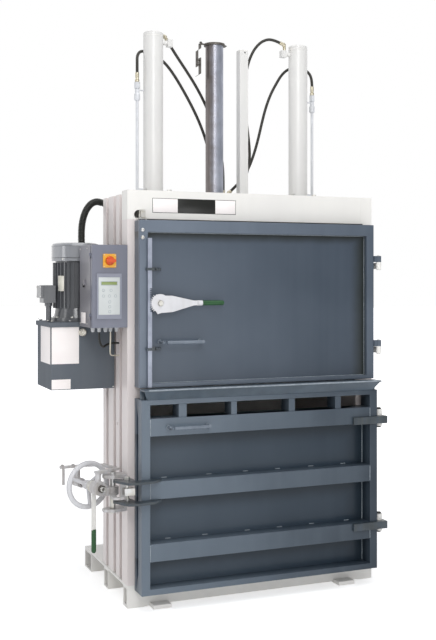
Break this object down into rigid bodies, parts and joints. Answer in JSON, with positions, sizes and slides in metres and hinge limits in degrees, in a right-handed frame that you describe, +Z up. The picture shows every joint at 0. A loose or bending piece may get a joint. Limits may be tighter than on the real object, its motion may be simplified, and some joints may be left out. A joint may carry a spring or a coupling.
{
  "type": "upright recycling baler",
  "caption": "Upright baler: hydraulic press in a welded steel body with a loading door, a bale door with screw lock, oil tank, motor and control cabinet.",
  "frame": {"origin": "on the floor under the middle of the body, at the middle runner of the base", "axes": "+X to the right along the front, +Y to the back, +Z up"},
  "size_m": [1.777, 1.003, 3.0191],
  "materials": {
    "body_white": "gloss off-white paint",
    "side_grey": "pinkish light grey paint",
    "door_blue": "semi-gloss blue-grey paint",
    "door_dark": "semi-gloss dark blue-grey paint",
    "tank_grey": "dark grey paint",
    "motor_grey": "grey paint",
    "cabinet_grey": "fine textured grey powder coat",
    "bright_steel": "bright zinc and bare steel",
    "column_steel": "bare drawn steel, oiled",
    "rod_chrome": "ground and chromed",
    "lever_white": "white paint",
    "lock_silver": "silver-grey paint",
    "grip_green": "dipped green grip",
    "hose_rubber": "black rubber",
    "conduit_plastic": "black corrugated hose",
    "gland_plastic": "grey plastic",
    "switch_yellow": "yellow plastic",
    "switch_red": "red plastic",
    "panel_foil": "printed light foil in a grey frame",
    "cap_metal": "turned light alloy",
    "fan_plastic": "black plastic"
  },
  "bodies": {
    "frame": {"base_frame": "body_white", "cabinet_cables": "conduit_plastic", "cable_glands": "gland_plastic", "control_cabinet": "cabinet_grey", "cylinder_left": "body_white", "cylinder_right": "body_white", "door_keeper": "bright_steel", "fan_cowl": "motor_grey", "guide_tube": "body_white", "header_beam": "body_white", "hose_left_port": "hose_rubber", "hose_left_return": "hose_rubber", "hose_right_port": "hose_rubber", "hose_right_return": "hose_rubber", "hydraulic_fittings": "bright_steel", "lock_bracket": "lock_silver", "lock_pin": "bright_steel", "lower_hinge_lugs": "bright_steel", "lower_hinge_pins": "bright_steel", "motor": "motor_grey", "oil_tank": "tank_grey", "power_conduit": "conduit_plastic", "rear_wall": "body_white", "return_pipes": "body_white", "side_wall_left": "side_grey", "side_wall_right": "side_grey", "tank_cover": "tank_grey", "terminal_box": "motor_grey", "top_plate": "body_white", "upper_hinge_lugs": "bright_steel"},
    "press": {"press_platen": "body_white", "piston_rods": "rod_chrome", "guide_column": "column_steel", "column_collar": "bright_steel", "cam_strip": "bright_steel"},
    "upper_door_leaf": {"upper_door": "door_blue", "bar_guides": "door_blue", "upper_door_handle": "door_blue", "upper_door_bolts": "bright_steel", "upper_hinge_arms": "door_blue"},
    "lever": {"sector_lever": "lever_white", "lever_grip": "grip_green"},
    "bar": {"lock_bar": "bright_steel"},
    "lower_door_leaf": {"lower_door": "door_dark", "lower_door_lip": "door_blue", "lower_door_handle": "door_blue", "lower_hinge_straps": "door_dark", "lock_straps": "door_dark", "strap_bolt": "bright_steel"},
    "arm": {"lock_arm": "lock_silver"},
    "wheel": {"lock_spindle": "bright_steel", "handwheel": "lock_silver"},
    "release": {"release_lever": "bright_steel", "release_grip": "grip_green"},
    "fan": {"motor_fan": "fan_plastic"},
    "cap": {"filler_cap": "cap_metal"},
    "cabinet_leaf": {"cabinet_door": "cabinet_grey", "switch_plate": "switch_yellow", "display_panel": "panel_foil"},
    "switch": {"main_switch": "switch_red"}
  },
  "joints": [
    {"name": "press_stroke", "type": "slide", "parent": "frame", "child": "press", "axis": [0, 0, 1], "range_m": [-0.8, 0]},
    {"name": "upper_door_hinge", "type": "hinge", "parent": "frame", "child": "upper_door_leaf", "pos_m": [0.692, -0.474, 1.5], "axis": [0, 0, 1], "range_deg": [0, 110]},
    {"name": "lever_turn", "type": "hinge", "parent": "upper_door_leaf", "child": "lever", "pos_m": [-0.561, -0.485, 1.524], "axis": [0, -1, 0], "range_deg": [0, 40]},
    {"name": "bar_slide", "type": "slide", "parent": "upper_door_leaf", "child": "bar", "axis": [0, 0, -1], "range_m": [0, 0.036]},
    {"name": "lower_door_hinge", "type": "hinge", "parent": "frame", "child": "lower_door_leaf", "pos_m": [0.692, -0.474, 0.6], "axis": [0, 0, 1], "range_deg": [0, 110]},
    {"name": "lock_swing", "type": "hinge", "parent": "frame", "child": "arm", "pos_m": [-0.768, -0.358, 0.59], "axis": [0, 0, 1], "range_deg": [0, 20]},
    {"name": "wheel_turn", "type": "hinge", "parent": "arm", "child": "wheel", "pos_m": [-0.87408, -0.28565, 0.613], "axis": [-0.2756, 0.9613, 0], "continuous": true},
    {"name": "release_swing", "type": "hinge", "parent": "arm", "child": "release", "pos_m": [-0.85864, -0.33948, 0.613], "axis": [-0.2756, 0.9613, 0], "range_deg": [0, 60]},
    {"name": "fan_turn", "type": "hinge", "parent": "frame", "child": "fan", "pos_m": [-0.86165, 0.0215, 1.78], "axis": [0, 0, 1], "continuous": true},
    {"name": "cap_turn", "type": "hinge", "parent": "frame", "child": "cap", "pos_m": [-0.867, -0.151, 1.37], "axis": [0, -1, 0], "continuous": true},
    {"name": "cabinet_hinge", "type": "hinge", "parent": "frame", "child": "cabinet_leaf", "pos_m": [-0.8885, -0.371, 1.6], "axis": [0, 0, -1], "range_deg": [0, 110]},
    {"name": "switch_turn", "type": "hinge", "parent": "cabinet_leaf", "child": "switch", "pos_m": [-0.796, -0.406, 1.734], "axis": [0, -1, 0], "range_deg": [-90, 0]}
  ],
  "couplings": [
    {"joint": "bar_slide", "follows": "lever_turn", "m_per_rad": 0.05}
  ]
}
